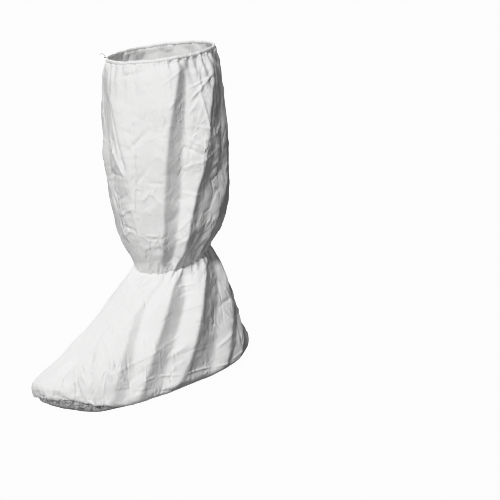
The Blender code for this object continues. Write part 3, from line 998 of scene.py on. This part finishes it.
def make_stitches():
    """Thread of the stitched seams and of the hem."""
    whole = np.linspace(0, 2 * pi, 900)
    rows = [
        stitch_row([(a, level) for a in whole], length, pitch)
        for level, length, pitch in STITCH_ROWS
    ]
    for beside in (0.016, pi - 0.016):
        for low, high in ((0.03, 0.97), (1.03, 1.97)):
            places = [(beside, v) for v in np.linspace(low, high, 300)]
            rows.append(stitch_row(places, *SEAM_STITCH))
    stitches = np.concatenate(rows)
    count = len(stitches)
    index = np.arange(count * 25).reshape(count, 5, 5)
    turned = np.roll(index, -1, axis=2)
    sides = np.stack(
        (index[:, :-1], turned[:, :-1], turned[:, 1:], index[:, 1:]), axis=-1
    ).reshape(-1, 4)
    ends = np.concatenate((index[:, 0, ::-1], index[:, -1])).tolist()
    loose = thread_end()
    strand = index.size + np.arange(len(loose) * 5).reshape(-1, 5)
    round_it = np.roll(strand, -1, axis=1)
    tube = np.stack((strand[:-1], round_it[:-1], round_it[1:], strand[1:]), axis=-1)
    ends += tube.reshape(-1, 4).tolist() + [strand[0, ::-1].tolist(), strand[-1].tolist()]
    points = np.concatenate((stitches.reshape(-1, 3), loose.reshape(-1, 3)))
    piece = smooth_object("seam_stitches", points, sides.tolist() + ends)
    mesh = piece.data
    nodes = Nodes("thread")
    ply = nodes.noise(1500.0, 2.0)
    color = nodes.ramp(ply, [(0.3, (0.78, 0.78, 0.77)), (0.7, (0.88, 0.88, 0.87))])
    mesh.materials.append(
        nodes.finish(color=color, roughness=0.5, normal=nodes.bump(ply, 0.4, 0.0001))
    )
    # The loose end's dark grey colour is painted shade: the thread is white, and this
    # colour stands in for the shade that makes the end look grey.
    shaded_end = Nodes("thread_end_painted_shade")
    grain = shaded_end.noise(900.0, 3.0)
    color = shaded_end.ramp(grain, [(0.3, (0.10, 0.095, 0.085)), (0.7, (0.26, 0.25, 0.23))])
    mesh.materials.append(shaded_end.finish(color=color, roughness=0.7))
    slots = np.zeros(len(mesh.polygons), dtype=np.int32)
    slots[-2 - (len(loose) - 1) * 5:] = 1
    mesh.polygons.foreach_set("material_index", slots)
    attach(piece, "root")
    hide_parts("left_panel", "right_panel")
    return piece


def make_cloth():
    """Both cloth panels, meeting at the front and back seams."""
    level = panel_levels()
    first = column_angles()
    pieces = []
    finish = cloth_material("nonwoven")
    for name, node, half, seed in (
        ("left_cloth", "left_panel", 0.0, 100), ("right_cloth", "right_panel", pi, 200)
    ):
        column = first + half if half == 0 else half + pi - first[::-1]
        points, normals, out = cloth_offset(column, level, seed)
        inside = lowest_near(out) - CLOTH_THICKNESS
        outer = points + normals * out[..., None]
        inner = points + normals * inside[..., None]
        piece = double_layer(name, outer, inner[::2, ::2])
        turn = column[None, :] + twist_at(level)[:, None]
        PANEL_GRIDS.append((column, level, outer))
        extra = np.full(len(piece.data.vertices), 0.5)
        extra[:turn.size] = strength_at(turn, level).ravel()
        layer = piece.data.attributes.new("crumple", "FLOAT", "POINT")
        layer.data.foreach_set("value", extra)
        piece.data.materials.append(finish)
        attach(piece, "root")
        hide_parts(node)
        pieces.append(piece)
    return pieces


def edge_ring(count, level):
    """Displaced cloth edge at one level, as a closed ring with its normals."""
    column = np.arange(count) * 2 * pi / count
    points, normals, out = cloth_offset(column, np.array([level]))
    return (points + normals * out[..., None])[0], normals[0], column


def make_hem():
    """Ruched roll of cloth over the elastic at the top edge."""
    count, sides = 900, 20
    ring, normals, column = edge_ring(count, 2.0)
    outward = unit(normals * (1, 1, 0))
    plump = 1 + 0.09 * pleats(column, 83, 7) + 0.06 * pleats(column, 131, 8)
    centre = ring + (0, 0, GAP + HEM_BAND / 2 - HEM_OVERLAP) - outward * HEM_INSET
    centre[:, 2] += 0.0003 * np.sin(9 * column) + 0.0002 * np.sin(23 * column + 1)
    rows = []
    for side in range(sides + 1):
        turn = 2 * pi * side / sides
        wide, high = HEM_HALF_WIDTH * cos(turn), HEM_BAND / 2 * sin(turn)
        rows.append(
            centre
            + outward * (wide * plump)[:, None]
            + np.array((0, 0, 1)) * (high * (0.9 + 0.1 * plump))[:, None]
        )
    piece = grid_object("hem_band", np.array(rows[:-1] + rows[:1]))
    modify(piece, "WELD", merge_threshold=1e-6)
    piece.data.materials.append(cloth_material("rolled_hem", ruche=True))
    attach(piece, "root")
    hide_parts("top_hem")
    return piece


def make_sole():
    """Shallow sole with a puckered rim, mottled grey."""
    count, rim_rows, floor_rows = 420, 22, 12
    ring, normals, column = edge_ring(count, 0.0)
    inward = unit(-normals * (1, 1, 0))
    tuck = SOLE_TUCK * rim_at(column)[1]
    toe = np.clip(np.cos(column), 0, 1)[:, None]
    even = np.mean([np.roll(ring, k, axis=0) for k in range(-6, 7)], axis=0)
    rows = []
    foot = even + inward * tuck[:, None]
    foot[:, 2] = FLOOR
    middle = np.array((0, -0.04, FLOOR))
    for i in range(floor_rows):
        share = 0.02 + 0.98 * i / floor_rows
        rows.append(middle + (foot - middle) * share)
    for i in range(rim_rows + 1):
        turn = i / rim_rows * pi / 2
        share = i / rim_rows
        row = even + (ring - even) * share
        row += inward * (tuck * (1 - sin(turn)) + 0.0004)[:, None]
        rise = ring[:, 2] + 0.0008 - FLOOR
        row[:, 2] = FLOOR + rise * (1 - cos(turn))
        share = sin(turn) * share
        pucker = pleats(column, 61, 21) * 0.0011 + pleats(column, 113, 22) * 0.0005
        row -= inward * (pucker * share)[:, None] * (0.25 + 0.75 * toe)
        rows.append(row)
    points = np.array(rows)
    fine = np.zeros(points.shape[:2])
    for i in range(floor_rows + 1, len(rows)):
        for k in range(count):
            place = Vector(points[i, k]) / 0.011
            fine[i, k] = 0.0009 * (0.25 - abs(noise.noise(place)))
    points -= inward[None] * (fine * toe[:, 0] * 0.8)[..., None]
    piece = grid_object("sole_cover", points)
    close_ring(piece, range(count)[::-1])
    piece.data.materials.append(sole_material())
    modify(piece, "SOLIDIFY", thickness=THIN_WALL, offset=-1)
    for vertex in piece.data.vertices:
        vertex.co.z = max(vertex.co.z, FLOOR)
    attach(piece, "root")
    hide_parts("sole")
    return piece


def close_ring(target, loop):
    """Fill the small hole in the middle of a ring grid."""
    bm = bmesh.new()
    bm.from_mesh(target.data)
    bm.verts.ensure_lookup_table()
    ring = [bm.verts[i] for i in loop]
    centre = bm.verts.new(sum((vert.co for vert in ring), Vector()) / len(ring))
    for a, b in zip(ring, ring[1:] + ring[:1]):
        bm.faces.new((a, b, centre))
    bm.to_mesh(target.data)
    bm.free()
    target.data.shade_smooth()


def make_elastic():
    """Elastic band inside the ankle."""
    column = np.arange(360) * 2 * pi / 360
    x, y, z = ankle_at(column)
    outward = unit(np.stack((x / ANKLE_WIDTH**2, y / ANKLE_DEPTH**2, 0 * x), axis=1))
    base = np.stack((x, y, z), axis=1) - outward * ELASTIC_INSET
    rib = 0.00025 * np.cos(90 * column)[:, None]
    rows = [
        base + outward * rib + np.array((0, 0, (i / 8 - 0.5) * ELASTIC_HEIGHT))
        for i in range(9)
    ]
    piece = grid_object("ankle_band", np.array(rows))
    piece.data.materials.append(elastic_material())
    modify(piece, "SOLIDIFY", thickness=THIN_WALL, offset=-1)
    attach(piece, "root")
    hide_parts("ankle_elastic")
    return piece


def towards(azimuth, elevation):
    """Direction of a place seen from the part, measured as the camera's is, in degrees."""
    a, e = radians(azimuth), radians(elevation)
    return Vector((sin(a) * cos(e), -cos(a) * cos(e), sin(e)))


def soft_sun(name, azimuth, elevation, spread, power):
    """Far soft light."""
    light = bpy.data.lights.new(name, "SUN")
    light.angle = radians(spread)
    light.energy = power
    item = add_object(name, light)
    away = towards(azimuth, elevation)
    item.location = away * 3
    item.rotation_euler = (-away).to_track_quat("-Z", "Y").to_euler()


def stage_object(name, vertices, faces, grey):
    """Part of the studio that lights nothing: a plain pale surface."""
    mesh = bpy.data.meshes.new(name)
    mesh.from_pydata(vertices, [], faces)
    item = add_object(name, mesh)
    nodes = Nodes(name + "_paper")
    nodes.shader.inputs["Emission Color"].default_value = (1, 1, 1, 1)
    nodes.shader.inputs["Emission Strength"].default_value = GLOW
    mesh.materials.append(nodes.finish(color=(grey, grey, grey, 1), roughness=0.9))
    item.visible_diffuse = False
    item.visible_glossy = False
    return item


def shade_world(tree, background):
    """Even weak light from everywhere and a broad soft one from the front, low down."""
    place = tree.nodes.new("ShaderNodeTexCoord").outputs["Generated"]
    dot = tree.nodes.new("ShaderNodeVectorMath")
    dot.operation = "DOT_PRODUCT"
    tree.links.new(place, dot.inputs[0])
    dot.inputs[1].default_value = towards(*BROAD_LIGHT[:2])
    lobe = tree.nodes.new("ShaderNodeMapRange")
    lobe.inputs["To Min"].default_value = BROAD_LIGHT[2]
    lobe.inputs["To Max"].default_value = BROAD_LIGHT[3]
    tree.links.new(dot.outputs["Value"], lobe.inputs["Value"])
    tree.links.new(lobe.outputs["Result"], background.inputs["Strength"])


def make_stage():
    """Pale floor and backdrop, soft lights and the camera of the photograph."""
    reach, radius = FLOOR_REACH, BACKDROP_RADIUS
    corners = [(-reach, -reach), (reach, -reach), (reach, reach), (-reach, reach)]
    stage_object("floor", [(x, y, FLOOR) for x, y in corners], [(0, 1, 2, 3)], 0.93)
    ring = [(cos(k * pi / 16), sin(k * pi / 16)) for k in range(32)]
    walls = [(radius * x, radius * y, z) for z in BACKDROP_ENDS for x, y in ring]
    faces = [(k, (k + 1) % 32, (k + 1) % 32 + 32, k + 32) for k in range(32)]
    backdrop = stage_object("backdrop", walls, faces, 0.9)
    backdrop.visible_shadow = False
    backdrop.visible_transmission = False

    world = bpy.data.worlds.new("studio")
    bpy.context.scene.world = world
    world.use_nodes = True
    background = world.node_tree.nodes["Background"]
    background.inputs["Color"].default_value = (1, 1, 1, 1)
    shade_world(world.node_tree, background)

    for name, (azimuth, elevation, spread, power) in SUNS.items():
        soft_sun(name, azimuth, elevation, spread, power)

    view = bpy.data.cameras.new("camera")
    view.sensor_width = 36
    view.lens = LENS
    camera = add_object("camera", view)
    azimuth, pitch, yaw = radians(AZIMUTH), radians(PITCH), radians(YAW)
    away = Vector((-sin(azimuth), cos(azimuth), 0))
    right = Vector((cos(azimuth), sin(azimuth), 0))
    ahead = away * cos(yaw) + right * sin(yaw)
    beside = right * cos(yaw) - away * sin(yaw)
    up = Vector((0, 0, 1))
    forward = ahead * cos(pitch) - up * sin(pitch)
    above = ahead * sin(pitch) + up * cos(pitch)
    matrix = Matrix((beside, above, -forward)).transposed().to_4x4()
    matrix.translation = -away * CAMERA_DISTANCE + up * CAMERA_HEIGHT
    camera.matrix_world = matrix
    bpy.context.scene.camera = camera
    bpy.context.scene.view_settings.view_transform = "Khronos PBR Neutral"


make_stage()
cloth = make_cloth()
stitches = make_stitches()
hem = make_hem()
sole = make_sole()
elastic = make_elastic()
